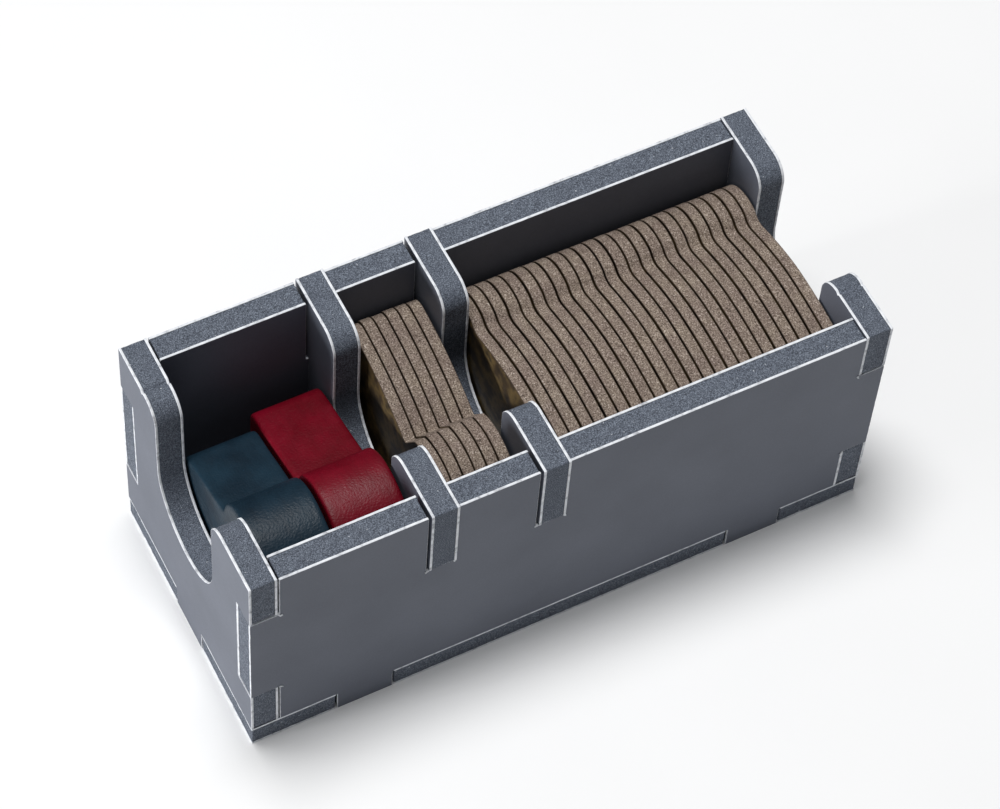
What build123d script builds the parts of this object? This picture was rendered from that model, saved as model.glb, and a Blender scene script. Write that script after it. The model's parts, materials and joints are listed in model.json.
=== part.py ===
from build123d import *
import os

# A foam board tray that sorts the pieces of a board game, with its pieces in it.
# Millimetres, Z up. The origin is the middle of the tray's underside: X runs along the
# tray, to the right, and Y runs from the front wall to the back wall.

# ---------------------------------------------------------------- driving dimensions
tray_width = 51.0
tray_height = 51.5

board = 5.0                  # thickness of the foam board
liner = 0.45                 # each of the two paper liners on it

wood_thickness = 13.0        # wooden pieces, along X
wood_height = 41.4
wood_tail_height = 28.9      # height of the low back part at its end
wood_crease_height = 33.4    # height of the crease between back part and front bump
wood_bump_length = 17.0      # along Y, from the front to the crease
wood_brow = 6.5              # height over which the bump's front rolls over into its top
wood_foot_round = 5.0        # lower corners
wood_tail_round = 3.0        # upper corner at the back
wood_crease_round = 0.8      # hollow of the crease
wood_edge = 0.6              # rounded edges of both sides
blue_tail_room = 7.8         # free space behind the blue piece
red_tail_room = 4.6          # free space behind the red piece

token_thickness = 2.0        # tokens, along X
token_foot_round = 6.0       # their lower corners
domed_count = 24
domed_gap = 0.3              # between one domed token and the next
domed_height = 39.5
domed_wander = (0.0, 0.03, -0.02, 0.02, -0.03, 0.02, -0.01)   # unevenness along the stack
notched_gap = 0.2            # between one notched token and the next
notched_height = 38.5        # to the top of the bump
notched_crest_drop = 0.6     # how much lower the dome behind the bump is
notched_shoulder = 3.2       # round upper corner at the back
notched_bump_radius = 9.0    # the bump's front and top are one arc
notched_bump_end = 56.0      # where that arc ends at the back, in degrees above level
notched_stagger = (-0.15, 0.15, 0.0, 0.2, 0.1, 0.0)   # how far each one stands back
notched_room = 1.6           # free space beside the notched tokens

piece_play = 0.4             # between a piece and the board beside it

finger_play = 0.15           # clearance above and below, or beside, each joint finger
shoulder_play = 0.3          # between the long walls' left shoulders and the left end wall
foot_play = 0.25             # at each side of the long walls' feet
slot_play = 0.45             # how much wider a divider's slot is than the board
wall_step = 0.3              # how far the ends and dividers stand above front and back
tab_proud = 0.3              # how far the divider tabs stand out of front and back

foot_width = 10.4            # feet of front and back wall, through the base
foot_inset = 16.0            # from the tray's end to the nearest of those feet
end_foot_width = 10.2        # foot of an end wall
divider_foot_width = 12.0    # foot of a divider
top_finger = 11.3            # corner joint: height of the end wall's upper finger
bottom_finger = 11.1         # corner joint: height of the end wall's lower finger
slot_depth = 16.9            # divider slot, down from the top of the tray

scoop_width = 21.7           # rounded finger opening in ends and dividers
scoop_depth = 27.8
scoop_rim = 4.0              # radius where the scoop meets the top edge

# ---------------------------------------------------------------- places that follow
domed_pitch = token_thickness + domed_gap
notched_pitch = token_thickness + notched_gap
notched_count = len(notched_stagger)

left_pocket = 2 * wood_thickness + 3 * piece_play
middle_pocket = notched_count * notched_pitch + piece_play + notched_room
right_pocket = domed_count * domed_pitch + piece_play
tray_length = left_pocket + middle_pocket + right_pocket + 4 * board

left_end = -tray_length / 2
right_end = tray_length / 2
front = -tray_width / 2
back = tray_width / 2
inner_front = front + board
inner_back = back - board
foam = board - 2 * liner
wall_top = tray_height - wall_step

left_divider = left_end + board + left_pocket
right_divider = left_divider + board + middle_pocket
tab_low = board + bottom_finger
tab_high = tray_height - top_finger
slot_floor = tray_height - slot_depth

corner = (Align.MIN, Align.MIN)

os.makedirs("parts", exist_ok=True)


def save(part, name):
    """Label a finished piece and write it as its own file."""
    part.label = name
    export_step(part, f"parts/{name}.step")


def block(x_low, x_high, y_low, y_high, mode=Mode.ADD):
    """An axis-aligned rectangle in the open sketch, from corner to corner."""
    with Locations((x_low, y_low)):
        Rectangle(x_high - x_low, y_high - y_low, align=corner, mode=mode)


def cut_board(name, layers, outline, plane):
    """One panel of foam board: paper, foam and paper, cut together to one outline.

    The layers are stacked from the plane, along its normal."""
    depth = 0.0
    for layer, thickness in zip(layers, (liner, foam, liner)):
        with BuildPart() as sheet:
            with BuildSketch(plane.offset(depth)):
                outline()
            extrude(amount=thickness)
        save(sheet.part, f"{name}_{layer}")
        depth += thickness


# ---------------------------------------------------------------- base
def base_outline():
    """The floor of the tray, notched for the feet of the walls and dividers."""
    block(left_end, right_end, front, back)
    for side in (-1, 1):
        foot_middle = side * (tray_length / 2 - foot_inset - foot_width / 2)
        half_notch = foot_width / 2 + foot_play
        low, high = foot_middle - half_notch, foot_middle + half_notch
        block(low, high, front, inner_front, mode=Mode.SUBTRACT)
        block(low, high, inner_back, back, mode=Mode.SUBTRACT)
    half_notch = end_foot_width / 2 + finger_play
    block(left_end, left_end + board, -half_notch, half_notch, mode=Mode.SUBTRACT)
    block(right_end - board, right_end, -half_notch, half_notch, mode=Mode.SUBTRACT)
    half_notch = divider_foot_width / 2 + finger_play
    for divider in (left_divider, right_divider):
        block(divider, divider + board, -half_notch, half_notch, mode=Mode.SUBTRACT)


cut_board("base", ("bottom_liner", "foam_core", "top_liner"), base_outline, Plane.XY)


# ---------------------------------------------------------------- front and back wall
def long_wall_outline():
    """A long wall: a tab through each end wall, two feet and two slots for dividers."""
    block(left_end + board + shoulder_play, right_end - board, board, wall_top)
    block(left_end, right_end, tab_low, tab_high)
    for side in (-1, 1):
        foot_middle = side * (tray_length / 2 - foot_inset - foot_width / 2)
        block(foot_middle - foot_width / 2, foot_middle + foot_width / 2, 0, board)
    for divider in (left_divider, right_divider):
        block(divider - slot_play, divider + board, slot_floor, tray_height, mode=Mode.SUBTRACT)


cut_board(
    "front_wall",
    ("inner_liner", "foam_core", "outer_liner"),
    long_wall_outline,
    Plane.XZ.offset(-inner_front),
)
cut_board(
    "back_wall",
    ("outer_liner", "foam_core", "inner_liner"),
    long_wall_outline,
    Plane.XZ.offset(-back),
)


# ---------------------------------------------------------------- finger scoop
def cut_scoop():
    """The round opening that lets a finger and thumb reach the pieces from the end."""
    half = scoop_width / 2
    bottom_middle = tray_height - scoop_depth + half
    rim_middle = tray_height - scoop_rim
    with BuildLine() as rim:
        CenterArc((-half - scoop_rim, rim_middle), scoop_rim, 90, -90)
        Line((-half, rim_middle), (-half, bottom_middle))
        CenterArc((0, bottom_middle), half, 180, 180)
        Line((half, bottom_middle), (half, rim_middle))
        CenterArc((half + scoop_rim, rim_middle), scoop_rim, 180, -90)
        Line((half + scoop_rim, tray_height), (-half - scoop_rim, tray_height))
    make_face(rim.edges(), mode=Mode.SUBTRACT)


# ---------------------------------------------------------------- end walls
def end_wall_outline():
    """An end wall: fingers above and below the long walls' tabs, a foot and the scoop."""
    block(front, back, board, tray_height)
    notch_low = tab_low - finger_play
    notch_high = tab_high + finger_play
    block(front, inner_front, notch_low, notch_high, mode=Mode.SUBTRACT)
    block(inner_back, back, notch_low, notch_high, mode=Mode.SUBTRACT)
    block(-end_foot_width / 2, end_foot_width / 2, 0, board)
    cut_scoop()


cut_board(
    "left_end_wall",
    ("outer_liner", "foam_core", "inner_liner"),
    end_wall_outline,
    Plane.YZ.offset(left_end),
)
cut_board(
    "right_end_wall",
    ("inner_liner", "foam_core", "outer_liner"),
    end_wall_outline,
    Plane.YZ.offset(right_end - board),
)


# ---------------------------------------------------------------- dividers
def divider_outline():
    """A divider: tabs that drop into the long walls' slots, a foot and the scoop."""
    block(inner_front, inner_back, board, tray_height)
    block(front - tab_proud, back + tab_proud, slot_floor, tray_height)
    block(-divider_foot_width / 2, divider_foot_width / 2, 0, board)
    cut_scoop()


for divider_name, divider_place in (
    ("left_divider", left_divider),
    ("right_divider", right_divider),
):
    cut_board(
        divider_name,
        ("left_liner", "foam_core", "right_liner"),
        divider_outline,
        Plane.YZ.offset(divider_place),
    )


# ---------------------------------------------------------------- wooden pieces
def wood_outline(tail):
    """Side view of a wooden piece: a low sloping back part and a tall round front bump."""
    nose = inner_front + piece_play
    top = board + wood_height
    crease = (nose + wood_bump_length, board + wood_crease_height)
    tail_corner = (tail, board + wood_tail_height)
    bump_radius = wood_height - wood_crease_height
    crest = crease[0] - bump_radius
    brow = top - wood_brow
    foot = board + wood_foot_round
    with BuildLine() as side:
        Line((nose, brow), (nose, foot))
        CenterArc((nose + wood_foot_round, foot), wood_foot_round, 180, 90)
        Line((nose + wood_foot_round, board), (tail - wood_foot_round, board))
        CenterArc((tail - wood_foot_round, foot), wood_foot_round, -90, 90)
        Line((tail, foot), tail_corner)
        Line(tail_corner, crease)
        CenterArc((crest, crease[1]), bump_radius, 0, 90)
        EllipticalCenterArc((crest, brow), crest - nose, wood_brow, 90, arc_size=90)
        fillet(side.vertices().sort_by_distance(tail_corner)[0], radius=wood_tail_round)
        fillet(side.vertices().sort_by_distance(crease)[0], radius=wood_crease_round)
    make_face(side.edges())


for wood_name, wood_side, tail_room in (
    ("blue_wooden_piece", left_end + board + piece_play, blue_tail_room),
    ("red_wooden_piece", left_divider - piece_play - wood_thickness, red_tail_room),
):
    with BuildPart() as wooden_piece:
        with BuildSketch(Plane.YZ.offset(wood_side)):
            wood_outline(inner_back - tail_room)
        extrude(amount=wood_thickness)
        side_faces = wooden_piece.faces().filter_by(Axis.X)
        fillet(side_faces.edges(), radius=wood_edge)
    save(wooden_piece.part, wood_name)


# ---------------------------------------------------------------- tokens
def token_foot(nose, tail):
    """The straight underside of a token and its two rounded lower corners."""
    foot = board + token_foot_round
    Line((nose + token_foot_round, board), (tail - token_foot_round, board))
    CenterArc((tail - token_foot_round, foot), token_foot_round, -90, 90)
    CenterArc((nose + token_foot_round, foot), token_foot_round, 180, 90)


def domed_token_outline(nose, tail):
    """Side view of a domed token: a long flat dome in front, a low round hump behind."""
    top = board + domed_height
    foot = board + token_foot_round
    shoulder = (tail, top - 8.5)
    shoulder_roll = (tail - 2.4, top - 3.0)
    hump = (tail - 8.1, top - 1.3)
    hump_roll = (tail - 9.3, top - 1.6)
    crease_start = (tail - 10.3, top - 2.3)
    crease_bottom = (tail - 11.3, top - 2.7)
    crease_end = (tail - 12.4, top - 2.6)
    dome_rise = (tail - 17.0, top - 1.2)
    crest = (tail - 23.6, top)
    brow = (nose + 4.6, top - 0.6)
    dome_top = ((crest[0] + brow[0]) / 2, top)
    brow_roll = (nose + 1.1, top - 2.5)
    forehead = (nose, top - 6.0)
    with BuildLine() as side:
        token_foot(nose, tail)
        Line((tail, foot), shoulder)
        ThreePointArc(shoulder, shoulder_roll, hump)
        ThreePointArc(hump, hump_roll, crease_start)
        ThreePointArc(crease_start, crease_bottom, crease_end)
        ThreePointArc(crease_end, dome_rise, crest)
        ThreePointArc(crest, dome_top, brow)
        ThreePointArc(brow, brow_roll, forehead)
        Line(forehead, (nose, foot))
    make_face(side.edges())


def notched_token_outline(nose, tail):
    """Side view of a notched token: a sloping dome behind, a step and a round bump in front."""
    top = board + notched_height
    foot = board + token_foot_round
    crest = (tail - notched_shoulder, top - notched_crest_drop)
    shoulder = (crest[0], crest[1] - notched_shoulder)
    notch = (nose + 17.2, top - 6.4)
    dome_fall = ((crest[0] + notch[0]) / 2, top - 2.3)
    bump_middle = (nose + notched_bump_radius, top - notched_bump_radius)
    with BuildLine() as side:
        token_foot(nose, tail)
        Line((tail, foot), (tail, shoulder[1]))
        CenterArc(shoulder, notched_shoulder, 0, 90)
        ThreePointArc(crest, dome_fall, notch)
        bump = CenterArc(
            bump_middle, notched_bump_radius, notched_bump_end, 180 - notched_bump_end
        )
        Line(notch, bump @ 0)
        Line(bump @ 1, (nose, foot))
    make_face(side.edges())


def stamp_token(name, outline, place, shift):
    """One token on edge: its left face is at place, and shift moves it to the back."""
    with BuildPart() as token:
        with BuildSketch(Plane.YZ.offset(place)):
            outline(inner_front + piece_play + shift, inner_back - piece_play + shift)
        extrude(amount=token_thickness)
    save(token.part, name)


# the domed tokens fill their pocket, a little unevenly along the tray and across it
domed_start = right_end - board - right_pocket + piece_play
for number in range(domed_count):
    along = domed_wander[number % len(domed_wander)]
    across = domed_wander[(3 * number) % len(domed_wander)]
    stamp_token(
        f"domed_token_{number + 1:02d}",
        domed_token_outline,
        domed_start + number * domed_pitch + along,
        across,
    )

# the notched tokens stand loosely against the right divider, not quite lined up
notched_start = right_divider - piece_play - notched_count * notched_pitch
for number, stagger in enumerate(notched_stagger):
    stamp_token(
        f"notched_token_{number + 1}",
        notched_token_outline,
        notched_start + number * notched_pitch,
        stagger,
    )
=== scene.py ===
# %% [markdown]
# # A foam board tray with its game pieces
# The object is an open tray that sorts the pieces of a board game: seven panels of foam board
# that plug together, two painted wooden pieces and two stacks of punched board tokens.
# The exact sizes already exist as a CAD model. It is loaded first and never changed, and every
# piece made here is laid over the CAD part that it stands for.
# Blender counts in metres, so a millimetre is written as 0.001.

# %% Load the frame
import json
import math
from itertools import accumulate, chain

import bmesh
import bpy
from mathutils import Matrix, Vector, noise
from mathutils.geometry import delaunay_2d_cdt


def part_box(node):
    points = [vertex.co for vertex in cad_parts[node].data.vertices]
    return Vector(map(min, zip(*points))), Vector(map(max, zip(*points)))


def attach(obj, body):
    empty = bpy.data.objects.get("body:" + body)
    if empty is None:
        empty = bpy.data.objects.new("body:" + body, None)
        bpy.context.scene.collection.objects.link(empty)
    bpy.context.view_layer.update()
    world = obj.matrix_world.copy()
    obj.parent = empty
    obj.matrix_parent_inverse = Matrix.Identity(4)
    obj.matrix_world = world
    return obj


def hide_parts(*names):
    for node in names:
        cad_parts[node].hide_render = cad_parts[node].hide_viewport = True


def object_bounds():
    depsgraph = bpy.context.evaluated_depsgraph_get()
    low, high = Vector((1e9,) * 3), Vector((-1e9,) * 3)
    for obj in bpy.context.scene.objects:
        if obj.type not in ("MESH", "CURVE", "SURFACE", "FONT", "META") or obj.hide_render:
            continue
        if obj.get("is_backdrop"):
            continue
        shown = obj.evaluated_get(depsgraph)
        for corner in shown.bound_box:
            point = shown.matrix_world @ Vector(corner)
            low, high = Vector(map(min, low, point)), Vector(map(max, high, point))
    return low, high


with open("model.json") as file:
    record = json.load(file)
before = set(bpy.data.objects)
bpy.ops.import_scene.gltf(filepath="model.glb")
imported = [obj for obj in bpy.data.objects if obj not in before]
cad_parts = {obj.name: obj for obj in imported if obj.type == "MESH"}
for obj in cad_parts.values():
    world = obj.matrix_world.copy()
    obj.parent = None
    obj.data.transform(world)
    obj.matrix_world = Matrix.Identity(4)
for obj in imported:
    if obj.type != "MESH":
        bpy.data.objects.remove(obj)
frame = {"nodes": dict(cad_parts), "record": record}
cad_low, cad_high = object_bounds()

mm = 0.001
tray_size = cad_high - cad_low
print("CAD box in mm:", [round(side / mm, 1) for side in tray_size])

# %% [markdown]
# ## Camera
# A long lens from high on the left looks down into the pockets. The camera could be aimed with a
# Track To constraint, but that always keeps it level. Here it also leans a few degrees, so its
# three axes are worked out and written into one matrix.

# %% Camera
AZIMUTH, ELEVATION, LEAN = math.radians(-31.095), math.radians(56.987), math.radians(4.958)
DISTANCE = 622.3 * mm
LENS, SENSOR_WIDTH, NEAREST_SEEN = 131.754, 36.0, 10 * mm
aim = Vector((-0.209, 0.62, 30.524)) * mm
towards_camera = Vector((
    math.sin(AZIMUTH) * math.cos(ELEVATION),
    -math.cos(AZIMUTH) * math.cos(ELEVATION),
    math.sin(ELEVATION),
))
level_right = Vector((math.cos(AZIMUTH), math.sin(AZIMUTH), 0))
level_up = towards_camera.cross(level_right)
camera_right = math.cos(LEAN) * level_right + math.sin(LEAN) * level_up
camera_up = math.cos(LEAN) * level_up - math.sin(LEAN) * level_right

camera = bpy.data.objects.new("camera", bpy.data.cameras.new("camera"))
bpy.context.scene.collection.objects.link(camera)
camera.data.lens = LENS
camera.data.sensor_width = SENSOR_WIDTH
camera.data.clip_start = NEAREST_SEEN
orientation = Matrix((camera_right, camera_up, towards_camera)).transposed().to_4x4()
camera.matrix_world = Matrix.Translation(aim + towards_camera * DISTANCE) @ orientation
bpy.context.scene.camera = camera
print("camera stands at", [round(value, 3) for value in camera.location])

# %% [markdown]
# ## Light
# Three lights do three jobs. A panel high up, a little behind the tray, lights every upper edge,
# and the white floor throws it back onto the outer walls. It is far away and not large, so
# little of it slants onto the pockets' walls, and they stay dark. A second panel lies low on the
# left and models the end wall. A dim room fills in the rest. A bright room alone would be
# simpler, but it would light the pockets too and flatten them. The Standard view shows the
# colours as they are set.

# %% Light
ROOM_STRENGTH, ROOM_COLOUR = 0.15, (0.94, 0.97, 1.0, 1)
world = bpy.data.worlds.new("dim_room")
bpy.context.scene.world = world
world.use_nodes = True
background = world.node_tree.nodes["Background"]
background.inputs["Color"].default_value = ROOM_COLOUR
background.inputs["Strength"].default_value = ROOM_STRENGTH
bpy.context.scene.view_settings.view_transform = "Standard"


def light_panel(name, place, size, watts):
    """A square area light that faces the tray."""
    panel = bpy.data.objects.new(name, bpy.data.lights.new(name, "AREA"))
    bpy.context.scene.collection.objects.link(panel)
    panel.data.size = size
    panel.data.energy = watts
    panel.location = place
    panel.rotation_euler = (Vector(place) - aim).to_track_quat("Z", "Y").to_euler()
    return panel


light_panel("overhead_panel", place=(-0.08, 0.12, 1.14), size=0.4, watts=11.5)
light_panel("left_panel", place=(-0.9, 0.05, 0.1), size=0.17, watts=5.4)

# %% [markdown]
# ## Floor
# The tray stands on a plain pale sheet. A small sheet would do from above, but its far edge
# could show in low views, so this one is much larger than the tray.

# %% Floor
FLOOR_REACH, FLOOR_GAP = 4.0, 0.02 * mm

floor_mesh = bpy.data.meshes.new("floor")
grid = bmesh.new()
bmesh.ops.create_grid(grid, x_segments=8, y_segments=8, size=FLOOR_REACH)
grid.to_mesh(floor_mesh)
grid.free()
floor = bpy.data.objects.new("floor", floor_mesh)
bpy.context.scene.collection.objects.link(floor)
floor.location.z = cad_low.z - FLOOR_GAP
floor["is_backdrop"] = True
print("floor lies at", round(floor.location.z / mm, 3), "mm")

# %% [markdown]
# ## Materials: a few helpers
# Each finish is a small network of nodes. They read the Object coordinates, which stay with a
# piece when it is lifted out. The helpers in the next cells let a finish be written in a few
# lines. The first two give colours: one from everyday numbers, one a plain grey that darkens
# another colour when the two are multiplied.

# %% Colours
def colour(red, green, blue):
    """A colour in everyday 0 to 255 numbers, put through the sRGB curve to linear ones."""
    parts = [value / 255 for value in (red, green, blue)]
    linear = [p / 12.92 if p < 0.04045 else ((p + 0.055) / 1.055) ** 2.4 for p in parts]
    return (*linear, 1.0)


def grey(level):
    """A grey in linear numbers, from 0 for black to 1 for white."""
    return (level, level, level, 1)


BLACK, WHITE = grey(0), grey(1)
print("the grey of the paper in linear numbers:", [round(part, 3) for part in colour(96, 101, 113)])

# %% [markdown]
# A finish starts from one Principled shader. Then come noise of a given size in millimetres, a
# colour ramp, a mix and a bump. Image textures could do the same work, but noise has no edges
# and stays sharp however close the view is.

# %% Material helpers
def new_finish(name, roughness, specular=0.5):
    """A material with one Principled shader. Returns the material, its tree and the shader."""
    material = bpy.data.materials.new(name)
    material.use_nodes = True
    shader = material.node_tree.nodes["Principled BSDF"]
    shader.inputs["Roughness"].default_value = roughness
    shader.inputs["Specular IOR Level"].default_value = specular
    return material, material.node_tree, shader


def lumps(tree, size, detail=2.0, stretch=(1, 1, 1)):
    """Noise from 0 to 1 whose lumps are about size millimetres across."""
    place = tree.nodes.new("ShaderNodeTexCoord")
    scale = tree.nodes.new("ShaderNodeMapping")
    scale.inputs["Scale"].default_value = [1 / (size * mm * side) for side in stretch]
    texture = tree.nodes.new("ShaderNodeTexNoise")
    texture.inputs["Scale"].default_value = 1.0
    texture.inputs["Detail"].default_value = detail
    tree.links.new(place.outputs["Object"], scale.inputs["Vector"])
    tree.links.new(scale.outputs["Vector"], texture.inputs["Vector"])
    return texture.outputs["Fac"]


def ramp(tree, value, *stops):
    """Colours along a value. Each stop is a place from 0 to 1 and a colour."""
    node = tree.nodes.new("ShaderNodeValToRGB")
    band = node.color_ramp
    while len(band.elements) < len(stops):
        band.elements.new(0.5)
    for element, (place, shade) in zip(band.elements, stops):
        element.position = place
        element.color = shade
    tree.links.new(value, node.inputs["Fac"])
    return node.outputs["Color"]


def mixed(tree, factor, first, second, blend="MIX"):
    """Two colours mixed by a factor, which is a number or another node's output."""
    node = tree.nodes.new("ShaderNodeMix")
    node.data_type = "RGBA"
    node.blend_type = blend
    # The node has sockets for every type of value, and these are the ones for colours.
    share, one, two = node.inputs[0], node.inputs[6], node.inputs[7]
    for value, socket in ((factor, share), (first, one), (second, two)):
        if isinstance(value, bpy.types.NodeSocket):
            tree.links.new(value, socket)
        else:
            socket.default_value = value
    return node.outputs[2]


def bumped(tree, shader, height, depth, strength=1.0, under=None):
    """Raises the surface by height, which counts for depth millimetres."""
    node = tree.nodes.new("ShaderNodeBump")
    node.inputs["Strength"].default_value = strength
    node.inputs["Distance"].default_value = depth * mm
    tree.links.new(height, node.inputs["Height"])
    if under is not None:
        tree.links.new(under, node.inputs["Normal"])
    tree.links.new(node.outputs["Normal"], shader.inputs["Normal"])
    return node.outputs["Normal"]


print("helpers ready")

# %% [markdown]
# ## Finish: the floor
# A white sheet with the faintest mottling, so that it doesn't look like empty space up close.

# %% Floor finish
floor_finish, tree, shader = new_finish("white_sheet", roughness=0.9, specular=0.2)
mottle = ramp(tree, lumps(tree, 60), (0.3, grey(0.93)), (0.7, grey(0.95)))
tree.links.new(mottle, shader.inputs["Base Color"])
floor.data.materials.append(floor_finish)
print("finish:", floor_finish.name)

# %% [markdown]
# ## Finish: the grey paper on the panels
# Foam board is a sheet of foam between two papers. The outer side of the paper is dyed a cool
# grey and is nearly matt. Noise of two sizes gives the cloudiness of the dye and the fibres of
# the paper, and a very low bump breaks up the soft reflections.

# %% Grey paper
grey_paper, tree, shader = new_finish("grey_paper", roughness=0.55, specular=0.35)
clouds = ramp(tree, lumps(tree, 14, 3), (0.3, colour(92, 97, 109)), (0.7, colour(100, 105, 117)))
fibres = lumps(tree, 0.35, 4)
fibre_shade = ramp(tree, fibres, (0.3, grey(0.8)), (0.7, WHITE))
tree.links.new(mixed(tree, 0.5, clouds, fibre_shade, "MULTIPLY"), shader.inputs["Base Color"])
bumped(tree, shader, fibres, 0.01, 0.5)
print("finish:", grey_paper.name)

# %% [markdown]
# ## Finish: the white edge of the paper
# Where the paper is cut, its undyed white inside shows as a bright line all round each panel.
# The line isn't clean: the blade leaves it a little grey and furry, so noise darkens it in spots.

# %% White paper edge
paper_edge, tree, shader = new_finish("white_paper_edge", roughness=0.8, specular=0.2)
smudges = lumps(tree, 1.1, 4)
edge_shade = ramp(
    tree, smudges,
    (0.28, colour(172, 174, 180)), (0.45, colour(222, 225, 230)), (0.7, colour(240, 242, 246)),
)
tree.links.new(edge_shade, shader.inputs["Base Color"])
bumped(tree, shader, lumps(tree, 0.18, 3), 0.04, 0.8)
print("finish:", paper_edge.name)

# %% [markdown]
# ## Finish: the cut foam
# The foam's cut side is a fine dark stipple of opened bubbles with a bluish cast. Two noises are
# laid over each other: one for single bubbles and one for patches that catch more light. The
# rare peaks of a third one are pale specks of dust.

# %% Cut foam
cut_foam, tree, shader = new_finish("cut_foam", roughness=0.8, specular=0.25)
bubbles = lumps(tree, 0.17, 3)
stipple = ramp(
    tree, bubbles,
    (0.3, colour(44, 49, 57)), (0.5, colour(92, 98, 109)), (0.7, colour(140, 149, 162)),
)
patches = ramp(tree, lumps(tree, 2.2, 3), (0.3, (0.82, 0.82, 0.84, 1)), (0.7, WHITE))
foam_shade = mixed(tree, 0.8, stipple, patches, "MULTIPLY")
dust = ramp(tree, lumps(tree, 0.42, 0), (0.84, BLACK), (0.88, WHITE))
tree.links.new(mixed(tree, dust, foam_shade, colour(196, 200, 206)), shader.inputs["Base Color"])
bumped(tree, shader, bubbles, 0.07, 0.8)
print("finish:", cut_foam.name)

# %% [markdown]
# ## Finish: the edge of the punched board
# Tokens are punched from grey-brown board made of waste paper. The cut side shows it: a warm
# grey with dark and light flecks. Two numbers stored on each token's mesh help here. `across`
# runs from 0 to 1 through the thickness and lets thin dark lines of painted shade run along both
# arrises, for the shadow in the gaps between stacked tokens. Together with `along`, the distance
# round the outline, it also gives a stretched noise: the plies of the board, which show as fine
# streaks. Plain noise couldn't follow the outline.

# %% Punched board edge
PLY_DENSITY = 9.0

board_edge, tree, shader = new_finish("punched_board_edge", roughness=0.85, specular=0.25)
flecks = lumps(tree, 0.22, 4)
grit = ramp(
    tree, flecks,
    (0.3, colour(54, 46, 41)), (0.44, colour(126, 113, 103)), (0.58, colour(155, 142, 131)),
    (0.72, colour(224, 215, 206)),
)
stains = ramp(
    tree, lumps(tree, 4, 3),
    (0.3, colour(226, 218, 218)), (0.5, colour(240, 235, 232)), (0.7, colour(250, 247, 240)),
)
across, along = tree.nodes.new("ShaderNodeAttribute"), tree.nodes.new("ShaderNodeAttribute")
across.attribute_name, along.attribute_name = "across", "along"
ply_place, plies = tree.nodes.new("ShaderNodeCombineXYZ"), tree.nodes.new("ShaderNodeTexNoise")
tree.links.new(across.outputs["Fac"], ply_place.inputs["X"])
tree.links.new(along.outputs["Fac"], ply_place.inputs["Y"])
tree.links.new(ply_place.outputs["Vector"], plies.inputs["Vector"])
plies.inputs["Scale"].default_value = PLY_DENSITY
ply_shade = ramp(tree, plies.outputs["Fac"], (0.32, (0.62, 0.6, 0.58, 1)), (0.55, WHITE))
# Painted shade: the dark colour at both ends of `across`, along the rounded arrises of every token,
# stands for the shadow in the gaps between stacked tokens.
painted_gap_shade = ramp(
    tree, across.outputs["Fac"],
    (0.0, WHITE), (0.03, grey(0.9)), (0.07, BLACK),
    (0.93, BLACK), (0.97, grey(0.9)), (1.0, WHITE),
)
stained = mixed(tree, 0.9, grit, stains, "MULTIPLY")
streaked = mixed(tree, 0.55, stained, ply_shade, "MULTIPLY")
# Here the painted shade of the gaps darkens the board along both arrises.
with_gap_shade = mixed(tree, painted_gap_shade, streaked, colour(64, 53, 44))
tree.links.new(with_gap_shade, shader.inputs["Base Color"])
bumped(tree, shader, flecks, 0.07, 0.8)
print("finish:", board_edge.name)

# %% [markdown]
# ## Finish: the printed side of the tokens
# Only two tokens show their broad side. It carries no picture here: just a plain worn print of
# browns and ochres that run into each other.

# %% Printed side
printed_side, tree, shader = new_finish("printed_side", roughness=0.5, specular=0.4)
print_shade = ramp(
    tree, lumps(tree, 4.5, 5),
    (0.3, colour(34, 27, 19)), (0.45, colour(66, 52, 33)), (0.56, colour(112, 92, 56)),
    (0.68, colour(44, 38, 27)),
)
wear = ramp(tree, lumps(tree, 0.6, 4), (0.35, grey(0.7)), (0.65, WHITE))
tree.links.new(mixed(tree, 0.8, print_shade, wear, "MULTIPLY"), shader.inputs["Base Color"])
bumped(tree, shader, lumps(tree, 0.5, 3), 0.02, 0.5)
print("finish:", printed_side.name)

# %% [markdown]
# ## Finish: painted wood
# The two wooden pieces are dipped in satin paint, which pools a little and follows the grain.
# Both colours share one recipe: slow clouds in the colour, a grain stretched from front to
# back, and a fine skin of bumps that breaks the gloss into speckles.

# %% Painted wood
LEAST_GLOSSY, MOST_GLOSSY = 0.54, 0.34


def painted_wood(name, dark, light):
    """Satin paint over wood, in a darker and a lighter shade of one colour."""
    material, tree, shader = new_finish(name, roughness=0.45, specular=0.22)
    clouds = ramp(tree, lumps(tree, 7, 4), (0.3, dark), (0.7, light))
    grain = lumps(tree, 1.2, 4, stretch=(0.6, 6, 0.6))
    grain_shade = ramp(tree, grain, (0.35, grey(0.82)), (0.6, WHITE))
    tree.links.new(mixed(tree, 0.6, clouds, grain_shade, "MULTIPLY"), shader.inputs["Base Color"])
    gloss = tree.nodes.new("ShaderNodeMapRange")
    gloss.inputs["To Min"].default_value = MOST_GLOSSY
    gloss.inputs["To Max"].default_value = LEAST_GLOSSY
    tree.links.new(lumps(tree, 2.5, 3), gloss.inputs["Value"])
    tree.links.new(gloss.outputs["Result"], shader.inputs["Roughness"])
    skin = bumped(tree, shader, lumps(tree, 0.36, 2), 0.1, 0.8)
    bumped(tree, shader, grain, 0.05, 0.5, under=skin)
    return material


blue_paint = painted_wood("blue_paint", colour(18, 34, 46), colour(28, 50, 64))
red_paint = painted_wood("red_paint", colour(88, 3, 16), colour(112, 6, 28))
print("finishes:", blue_paint.name, red_paint.name)

# %% [markdown]
# ## Reading an outline
# Every panel layer and every token is a flat sheet cut to an outline. The outline is already in
# the CAD part, so it is read from there: the flat side is found, and the edges round it are
# chained into loops. Copying the CAD mesh would be quicker, but its edges are knife sharp and it
# has no points between the corners that could carry a cut edge's small unevenness.

# %% Read an outline
WELD = 0.002 * mm


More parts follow.
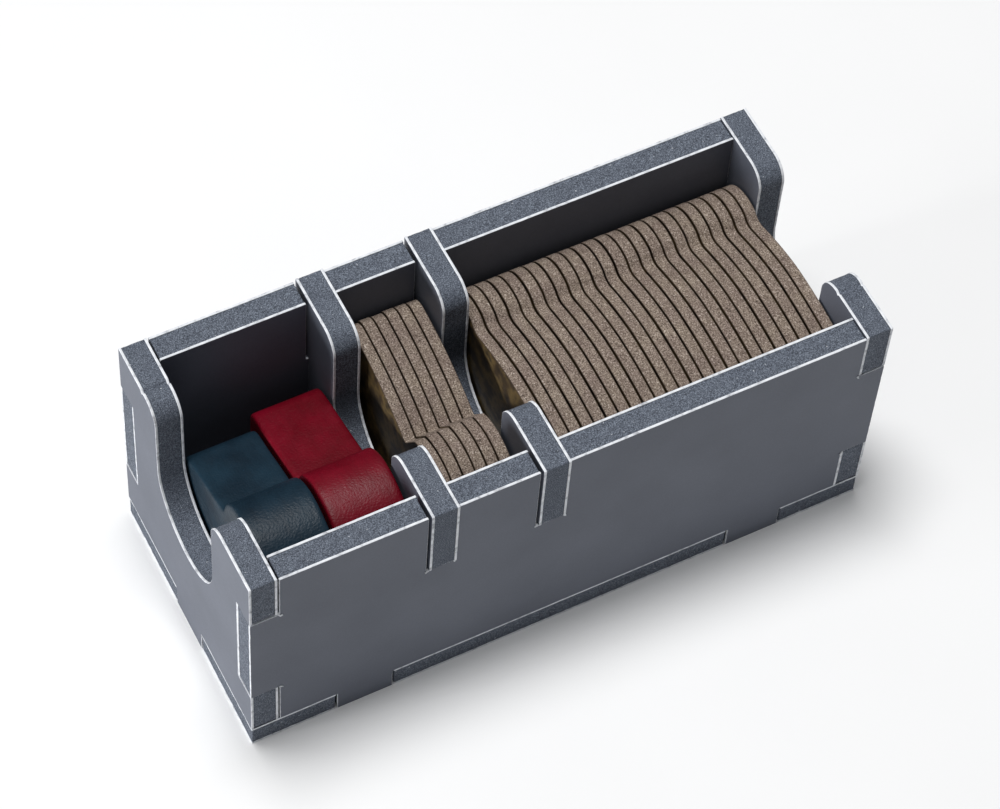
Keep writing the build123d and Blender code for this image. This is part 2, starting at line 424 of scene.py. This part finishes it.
def outline_of(node):
    """The loops round a sheet's flat side, the direction it is thin in, and its two sides."""
    low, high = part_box(node)
    thin = min(range(3), key=lambda axis: high[axis] - low[axis])
    sheet = bmesh.new()
    sheet.from_mesh(frame["nodes"][node].data)
    bmesh.ops.remove_doubles(sheet, verts=sheet.verts, dist=WELD)
    # The list keeps the faces in order, so the loops start at the same point on every run.
    side = [f for f in sheet.faces if all(abs(v.co[thin] - high[thin]) < WELD for v in f.verts)]
    members = set(side)
    following = {}
    for corner in chain.from_iterable(face.loops for face in side):
        if not any(face in members for face in corner.edge.link_faces if face != corner.face):
            following[corner.vert] = corner.link_loop_next.vert
    loops = []
    while following:
        first = next(iter(following))
        loop, vert = [], first
        while vert in following:
            loop.append(vert.co.copy())
            vert = following.pop(vert)
        loops.append(loop)
    sheet.free()
    return loops, thin, low[thin], high[thin]


loops, thin, _, _ = outline_of("base_foam_core")
print("the base has", len(loops), "loops and is thin along", "xyz"[thin])

# %% [markdown]
# ## Softening the corners
# Real cut corners are never perfectly sharp. Each sharp turn is replaced by a short round arc,
# and long straight runs are divided, so that there is a point every fraction of a millimetre.
# A bevel modifier could round the corners, but it has to be told which edges to leave alone.

# %% Soften and divide
SHARP_TURN = math.radians(22)
ARC_STEPS = 4


def softened(loop, radius):
    """The loop with each sharp corner replaced by a short round arc."""
    result = []
    for index, corner in enumerate(loop):
        before, after = loop[index - 1] - corner, loop[(index + 1) % len(loop)] - corner
        turn = math.pi - before.angle(after)
        if turn < SHARP_TURN:
            result.append(corner)
            continue
        reach = min(radius * math.tan(turn / 2), before.length / 3, after.length / 3)
        start, end = corner + before.normalized() * reach, corner + after.normalized() * reach
        for step in range(ARC_STEPS + 1):
            t = step / ARC_STEPS
            shares = (1 - t) ** 2, 2 * math.cos(turn / 2) * t * (1 - t), t ** 2
            blend = start * shares[0] + corner * shares[1] + end * shares[2]
            result.append(blend / sum(shares))
    return result


def divided(loop, spacing):
    """The loop with points no further apart than the spacing."""
    result = []
    for index, point in enumerate(loop):
        following = loop[(index + 1) % len(loop)]
        pieces = max(1, math.ceil((following - point).length / spacing))
        result += [point.lerp(following, part / pieces) for part in range(pieces)]
    return result


rounded = softened(loops[0], radius=0.15 * mm)
print("points round the base:", len(loops[0]), "before and", len(rounded), "after rounding")
print("points once it is divided:", len(divided(rounded, spacing=0.4 * mm)))

# %% [markdown]
# ## The cut side of a sheet
# A sheet is built in rows. Each row repeats the outline a little higher up the cut side, set in
# where the arris is rounded. The helpers say which way is in, how far round each point is, and
# where the rows lie. Extruding the outline would be shorter, but it gives one row at each end.

# %% Rows of a sheet
ARRIS_STEPS = 3
MITRE_LIMIT, LEAST_COSINE = 1.6, 0.1


def inward_directions(loop, normal):
    """For each point of the loop, the way into the sheet, longer at the corners."""
    ways = []
    for index, point in enumerate(loop):
        before = normal.cross(point - loop[index - 1]).normalized()
        after = normal.cross(loop[(index + 1) % len(loop)] - point).normalized()
        way = (before + after).normalized()
        ways.append(way * min(MITRE_LIMIT, 1 / max(LEAST_COSINE, way.dot(after))))
    return ways


def distances_round(loop):
    """How far round the loop each point is, in centimetres."""
    steps = [(point - loop[index - 1]).length for index, point in enumerate(loop)]
    return [total / (10 * mm) for total in accumulate([0.0] + steps[1:])]


def cut_rows(thickness, arris, spacing):
    """Rows from one side of the sheet to the other: (height, how far it is set in)."""
    quarter = [math.pi / 2 * step / ARRIS_STEPS for step in range(ARRIS_STEPS)]
    lower = [(arris * (1 - math.cos(a)), arris * (1 - math.sin(a))) for a in quarter]
    flat = thickness - 2 * arris
    pieces = max(1, round(flat / spacing))
    middle = [(arris + flat * part / pieces, 0.0) for part in range(pieces + 1)]
    upper = [(thickness - height, inset) for height, inset in reversed(lower)]
    return lower + middle + upper


sample_rows = cut_rows(thickness=0.45 * mm, arris=0.08 * mm, spacing=0.2 * mm)
print("rows of a 0.45 mm paper:", len(sample_rows))

# %% [markdown]
# ## The caps of a sheet
# The first and last row are closed with flat caps. Delaunay triangulation fills them and copes
# with a rough outline that crosses itself in a tight corner, by adding a point at the crossing.
# A single many-sided face would be simpler, but it folds there.

# %% Caps of a sheet
INSIDE_WITH_HOLES = 2
SAME_PLACE = 1e-6


def flat_place(point, thin):
    """The point seen along the thin direction, in millimetres."""
    return Vector([value / mm for axis, value in enumerate(point) if axis != thin])


def lifted_place(place, thin, level):
    """A flat place as a point again, at that level in the thin direction."""
    values = [value * mm for value in place]
    return Vector(values[:thin] + [level] + values[thin:])


def cap(ring, border, thin, facing, points, across, along):
    """Triangles over a ring of the sheet's points, whose lists get any point that it adds."""
    level = points[ring[0]][thin]
    places = [flat_place(points[index], thin) for index in ring]
    filled = delaunay_2d_cdt(places, border, [], INSIDE_WITH_HOLES, SAME_PLACE)
    places, triangles, sources = filled[0], filled[2], filled[3]
    index_of = []
    for place, source in zip(places, sources):
        if source:
            index_of.append(ring[source[0]])
            continue
        index_of.append(len(points))
        points.append(lifted_place(place, thin, level))
        across.append(across[ring[0]])
        along.append(0.0)
    # Seen along Y, the other two directions change hands.
    mirror = -1 if thin == 1 else 1
    faces = []
    for a, b, c in triangles:
        up = mirror * (places[b] - places[a]).cross(places[c] - places[a])
        corners = (a, b, c) if up * facing > 0 else (a, c, b)
        faces.append([index_of[corner] for corner in corners])
    return faces


square = [Vector((x * mm, y * mm, 0.0)) for x, y in ((0, 0), (1, 0), (1, 1), (0, 1))]
sides = [(0, 1), (1, 2), (2, 3), (3, 0)]
square_cap = cap(range(4), sides, 2, 1, square, [0.0] * 4, [0.0] * 4)
print("a square is closed with", len(square_cap), "triangles")

# %% [markdown]
# ## Building a sheet
# The rows are pushed in by a small noise for the texture of the cut and joined with quads. The
# noise only ever takes material away, so the piece stays inside its CAD part. Displacing a
# subdivided block would work too, but it would also roughen the flat sides. Caps and cut sides
# get one material each.

# %% Build a sheet
def sheet_object(name, points, faces, cut_faces, finishes, numbers):
    """The object of a sheet whose first faces are the cut side, with its stored numbers."""
    mesh = bpy.data.meshes.new(name)
    mesh.from_pydata(points, [], faces)
    is_cut = [index < cut_faces for index in range(len(faces))]
    mesh.polygons.foreach_set("use_smooth", is_cut)
    mesh.polygons.foreach_set("material_index", [int(cut) for cut in is_cut])
    for finish in finishes:
        mesh.materials.append(finish)
    for label, values in numbers.items():
        mesh.attributes.new(label, "FLOAT", "POINT").data.foreach_set("value", values)
    piece = bpy.data.objects.new(name, mesh)
    bpy.context.scene.collection.objects.link(piece)
    return piece


def sheet_piece(name, node, body, finishes, arris, spacing, corner, roughness_of_cut):
    """A detailed sheet over a CAD sheet. roughness_of_cut gives the inset at a point."""
    loops, thin, low, high = outline_of(node)
    normal = Vector([1.0 if axis == thin else 0.0 for axis in range(3)])
    loops = [divided(softened(loop, corner), spacing) for loop in loops]
    rows = cut_rows(high - low, arris, spacing)
    points, faces, across, along, starts = [], [], [], [], []
    for loop in loops:
        ways = inward_directions(loop, normal)
        count = len(loop)
        starts.append(len(points))
        for height, inset in rows:
            for point, way in zip(loop, ways):
                place = point + normal * (low + height - point[thin])
                points.append(place + way * (inset + roughness_of_cut(place)))
                across.append(height / (high - low))
            along += distances_round(loop)
        for row in range(len(rows) - 1):
            a, b = starts[-1] + row * count, starts[-1] + (row + 1) * count
            faces += [(a + i, a + (i + 1) % count, b + (i + 1) % count, b + i) for i in range(count)]
    cut_faces = len(faces)
    for row, facing in ((0, -1), (len(rows) - 1, 1)):
        ring, border = [], []
        for start, loop in zip(starts, loops):
            count = len(loop)
            border += [(len(ring) + i, len(ring) + (i + 1) % count) for i in range(count)]
            ring += range(start + row * count, start + (row + 1) * count)
        faces += cap(ring, border, thin, facing, points, across, along)
    numbers = {"across": across, "along": along}
    piece = sheet_object(name, points, faces, cut_faces, finishes, numbers)
    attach(piece, body)
    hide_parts(node)
    return piece


print("a sheet can now be built from any flat node")

# %% [markdown]
# ## Unevenness of the cuts
# Three kinds of cut, three kinds of noise. `noise.noise` gives the same smooth random number
# for the same place on every run. Foam crumbles the most and lies a little behind the paper,
# paper waves gently, and punched board is pressed nearly flat. A Displace modifier could push
# the points, but a function can be given a different depth for each kind of cut. A nick is where
# the sheet was held in its frame while it was cut, and it bites through the foam and both papers.

# %% Unevenness
NICK_WIDTH, NICK_REACH = 0.22 * mm, 2 * mm
NICK_WANDER, NICK_WANDER_SIZE = 0.1 * mm, 0.8 * mm


def wave(place, size):
    """Smooth noise from 0 to 1 with lumps of that size in millimetres."""
    return 0.5 + 0.5 * noise.noise(place / (size * mm))


def foam_cut(place):
    """Crumbs on a slow wave."""
    return (0.04 + 0.09 * wave(place, 0.7) + 0.06 * wave(place, 5)) * mm


def paper_cut(place):
    """A slow wave with furry spots."""
    furry = max(0.0, wave(place, 1.1) - 0.55)
    return (0.04 * wave(place, 6) + 0.16 * furry) * mm


def board_cut(place):
    """Fine grit on a slow wave."""
    return (0.03 * wave(place, 0.5) + 0.05 * wave(place, 6)) * mm


def with_nick(cut, y, depth):
    """A cut with one nick across it, that deep at that place along Y."""
    def nicked(place):
        if place.z < cad_high.z - NICK_REACH:
            return cut(place)
        wander = NICK_WANDER * noise.noise(place / NICK_WANDER_SIZE)
        away = (place.y - y - wander) / NICK_WIDTH
        return cut(place) + depth * math.exp(-away * away)
    return nicked


print("foam cut goes in by", round(foam_cut(Vector((0.01, 0.02, 0.03))) / mm, 3), "mm")

# %% [markdown]
# ## The seven panels
# Each panel is three sheets: paper, foam, paper. The record says which nodes belong to the tray,
# so the loop walks over those and picks the finish by the layer's name. A panel could be one
# block with three materials, but separate sheets give the papers their own crisp arrises. Both
# end walls have one nick: its place along Y comes first, then its depth.

# %% Panels
PAPER = dict(arris=0.07 * mm, spacing=0.33 * mm, corner=0.2 * mm)
FOAM = dict(arris=0.1 * mm, spacing=0.3 * mm, corner=0.3 * mm)
NICKS = {"left_end_wall": (16.0 * mm, 0.9 * mm), "right_end_wall": (-15.4 * mm, 0.5 * mm)}

tray_nodes = frame["record"]["behaviour"]["bodies"]["tray"]
for node in sorted(tray_nodes):
    foam = node.endswith("foam_core")
    cut = foam_cut if foam else paper_cut
    for nicked_wall, (y, depth) in NICKS.items():
        if node.startswith(nicked_wall):
            cut = with_nick(cut, y, depth)
    finishes = (cut_foam, cut_foam) if foam else (grey_paper, paper_edge)
    sheet = sheet_piece(
        node + "_sheet", node, "tray", finishes, roughness_of_cut=cut, **(FOAM if foam else PAPER)
    )
print("panel sheets:", len(tray_nodes))

# %% [markdown]
# ## The shape of a burr
# In the inner corners of the joints the knife leaves small curls of white paper. Each one is a
# short bent flake, a few tenths of a millimetre long: two curled layers of points, closed round
# the rim. A plane with a Solidify modifier could do it, but its ends would stay square.

# %% One flake
FLAKE_LENGTH, FLAKE_WIDTH, FLAKE_THICKNESS = 0.75 * mm, 0.4 * mm, 0.1 * mm
FLAKE_ROWS, FLAKE_COLUMNS = 7, 4
FLAKE_CURL, FLAKE_FRINGE, FLAKE_LIFT = 0.22 * mm, 0.22 * mm, 0.01 * mm


def flake_point(corner, direction, outward, number, t, u, side):
    """A point of a flake: t from root to tip, u from edge to edge, side 0 or 1."""
    sideways = direction.cross(outward)
    curl = FLAKE_CURL * math.sin(2.6 * t + number)
    fringe = FLAKE_FRINGE * noise.noise(Vector((number, t * 4, u * 3)))
    width = FLAKE_WIDTH * (0.35 + 0.65 * math.sin(math.pi * (0.15 + 0.8 * t)))
    return (
        corner + direction * (t * FLAKE_LENGTH) + sideways * (u * width + curl)
        + outward * (FLAKE_LIFT + abs(fringe) + side * FLAKE_THICKNESS)
    )


def flake(corner, direction, outward, number):
    """Points and faces of one curled flake that lies along the direction."""
    last_row, last_column = FLAKE_ROWS - 1, FLAKE_COLUMNS - 1
    points = [
        flake_point(
            corner, direction, outward, number, row / last_row, column / last_column - 0.5, side
        )
        for side in (0, 1) for row in range(FLAKE_ROWS) for column in range(FLAKE_COLUMNS)
    ]
    layer = FLAKE_ROWS * FLAKE_COLUMNS
    faces = []
    for row in range(last_row):
        for column in range(last_column):
            a = row * FLAKE_COLUMNS + column
            quad = (a + FLAKE_COLUMNS, a + FLAKE_COLUMNS + 1, a + 1, a)
            faces += [quad, tuple(index + layer for index in reversed(quad))]
    rim = list(range(FLAKE_COLUMNS))
    rim += [row * FLAKE_COLUMNS + last_column for row in range(1, FLAKE_ROWS)]
    rim += [last_row * FLAKE_COLUMNS + column for column in range(last_column - 1, -1, -1)]
    rim += [row * FLAKE_COLUMNS for row in range(last_row - 1, 0, -1)]
    faces += [(b + layer, a + layer, a, b) for a, b in zip(rim, rim[1:] + rim[:1])]
    return points, faces


flake_points, flake_faces = flake(Vector(), Vector((1, 0, 0)), Vector((0, -1, 0)), 0)
print("a flake has", len(flake_points), "points and", len(flake_faces), "faces")

# %% [markdown]
# ## Burrs of paper
# A particle system could scatter the burrs, but they belong to certain corners of the front
# wall. Where those corners lie across the wall is read from the CAD parts, and their heights are
# named here. All burrs together are one mesh, as they are far too small to be handled singly.

# %% Burrs
TAB_BOTTOM = 34.6 * mm
FINGER_ENDS = (16.1 * mm, 40.2 * mm)

wall_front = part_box("front_wall_outer_liner")[0].y
left_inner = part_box("left_end_wall_inner_liner")[1].x
right_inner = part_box("right_end_wall_inner_liner")[0].x
down, rightward, forward = Vector((0, 0, -1)), Vector((1, 0, 0)), Vector((0, -1, 0))
burr_places = []
for divider in ("left_divider", "right_divider"):
    low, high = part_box(divider + "_foam_core")
    burr_places.append((Vector((high.x + 0.3 * mm, wall_front, TAB_BOTTOM + 0.4 * mm)), down))
    burr_places.append((Vector((low.x - 1.2 * mm, wall_front, TAB_BOTTOM)), rightward))
for height in FINGER_ENDS:
    burr_places.append((Vector((left_inner + 0.1 * mm, wall_front, height)), rightward))
    burr_places.append((Vector((right_inner - 0.1 * mm, wall_front, height + 0.3 * mm)), down))

points, faces = [], []
for number, (corner, direction) in enumerate(burr_places):
    new_points, new_faces = flake(corner, direction, forward, number)
    faces += [tuple(index + len(points) for index in face) for face in new_faces]
    points += new_points
burr_mesh = bpy.data.meshes.new("paper_burrs")
burr_mesh.from_pydata(points, [], faces)
burr_mesh.materials.append(paper_edge)
burrs = bpy.data.objects.new("paper_burrs", burr_mesh)
bpy.context.scene.collection.objects.link(burrs)
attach(burrs, "tray")
print("burrs:", len(burr_places))

# %% [markdown]
# ## The tokens
# Both stacks are made the same way as the panels, from thicker sheets. Copies of one token would
# be lighter, but the noise is read at each token's own place, so no two are alike.

# %% Tokens
TOKEN = dict(arris=0.11 * mm, spacing=0.36 * mm, corner=0.3 * mm)
token_nodes = sorted(node for node in frame["nodes"] if "_token_" in node)
for node in token_nodes:
    token = sheet_piece(
        node + "_board", node, node + "_body", (printed_side, board_edge),
        roughness_of_cut=board_cut, **TOKEN
    )
print("tokens:", len(token_nodes))

# %% [markdown]
# ## The wooden pieces
# These are round-edged blocks under a skin of paint. Their CAD mesh is welded, remeshed into
# even small faces, smoothed so that the paint seems to have run into the crease, and then
# pushed in here and there, as dipped wood is never quite flat. Sculpting could do it too, but
# steps like these give the same piece on every run.

# %% Wooden pieces
FACE_SIZE, SMOOTH_ROUNDS = 0.4 * mm, 3
DENTS = ((0.12, 7), (0.02, 1.6))  # depth and size in millimetres


def wooden_piece(node, paint):
    """A painted wooden piece over its CAD node."""
    mesh = bpy.data.meshes.new(node + "_painted")
    block = bmesh.new()
    block.from_mesh(frame["nodes"][node].data)
    bmesh.ops.remove_doubles(block, verts=block.verts, dist=WELD)
    block.to_mesh(mesh)
    block.free()
    piece = bpy.data.objects.new(node + "_painted", mesh)
    bpy.context.scene.collection.objects.link(piece)
    remesh = piece.modifiers.new("even_faces", "REMESH")
    remesh.mode = "VOXEL"
    remesh.voxel_size = FACE_SIZE
    soften = piece.modifiers.new("paint_skin", "SMOOTH")
    soften.iterations = SMOOTH_ROUNDS
    ready = piece.evaluated_get(bpy.context.evaluated_depsgraph_get())
    painted = bpy.data.meshes.new_from_object(ready)
    piece.modifiers.clear()
    piece.data = painted
    low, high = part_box(node)
    surface = [(vertex.co.copy(), vertex.normal.copy()) for vertex in painted.vertices]
    for vertex, (place, outward) in zip(painted.vertices, surface):
        dent = sum(depth * wave(place, size) for depth, size in DENTS)
        moved = place - outward * dent * mm
        vertex.co = [min(max(value, least), most) for value, least, most in zip(moved, low, high)]
    painted.polygons.foreach_set("use_smooth", [True] * len(painted.polygons))
    painted.materials.clear()
    painted.materials.append(paint)
    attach(piece, node + "_body")
    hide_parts(node)
    return piece


for node, paint, slot in (
    ("blue_wooden_piece", blue_paint, "blue_painted_wood"),
    ("red_wooden_piece", red_paint, "red_painted_wood"),
):
    piece = wooden_piece(node, paint)
    print(piece.name, "has", len(piece.data.polygons), "faces")

# %% [markdown]
# ## Check the size and finish
# The finished look must fit inside the CAD box.

# %% Finish
bpy.context.view_layer.update()
seen_low, seen_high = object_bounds()
outside = max(max(cad_low - seen_low), max(seen_high - cad_high))
print("outside the CAD box by at most", round(outside / mm, 3), "mm")
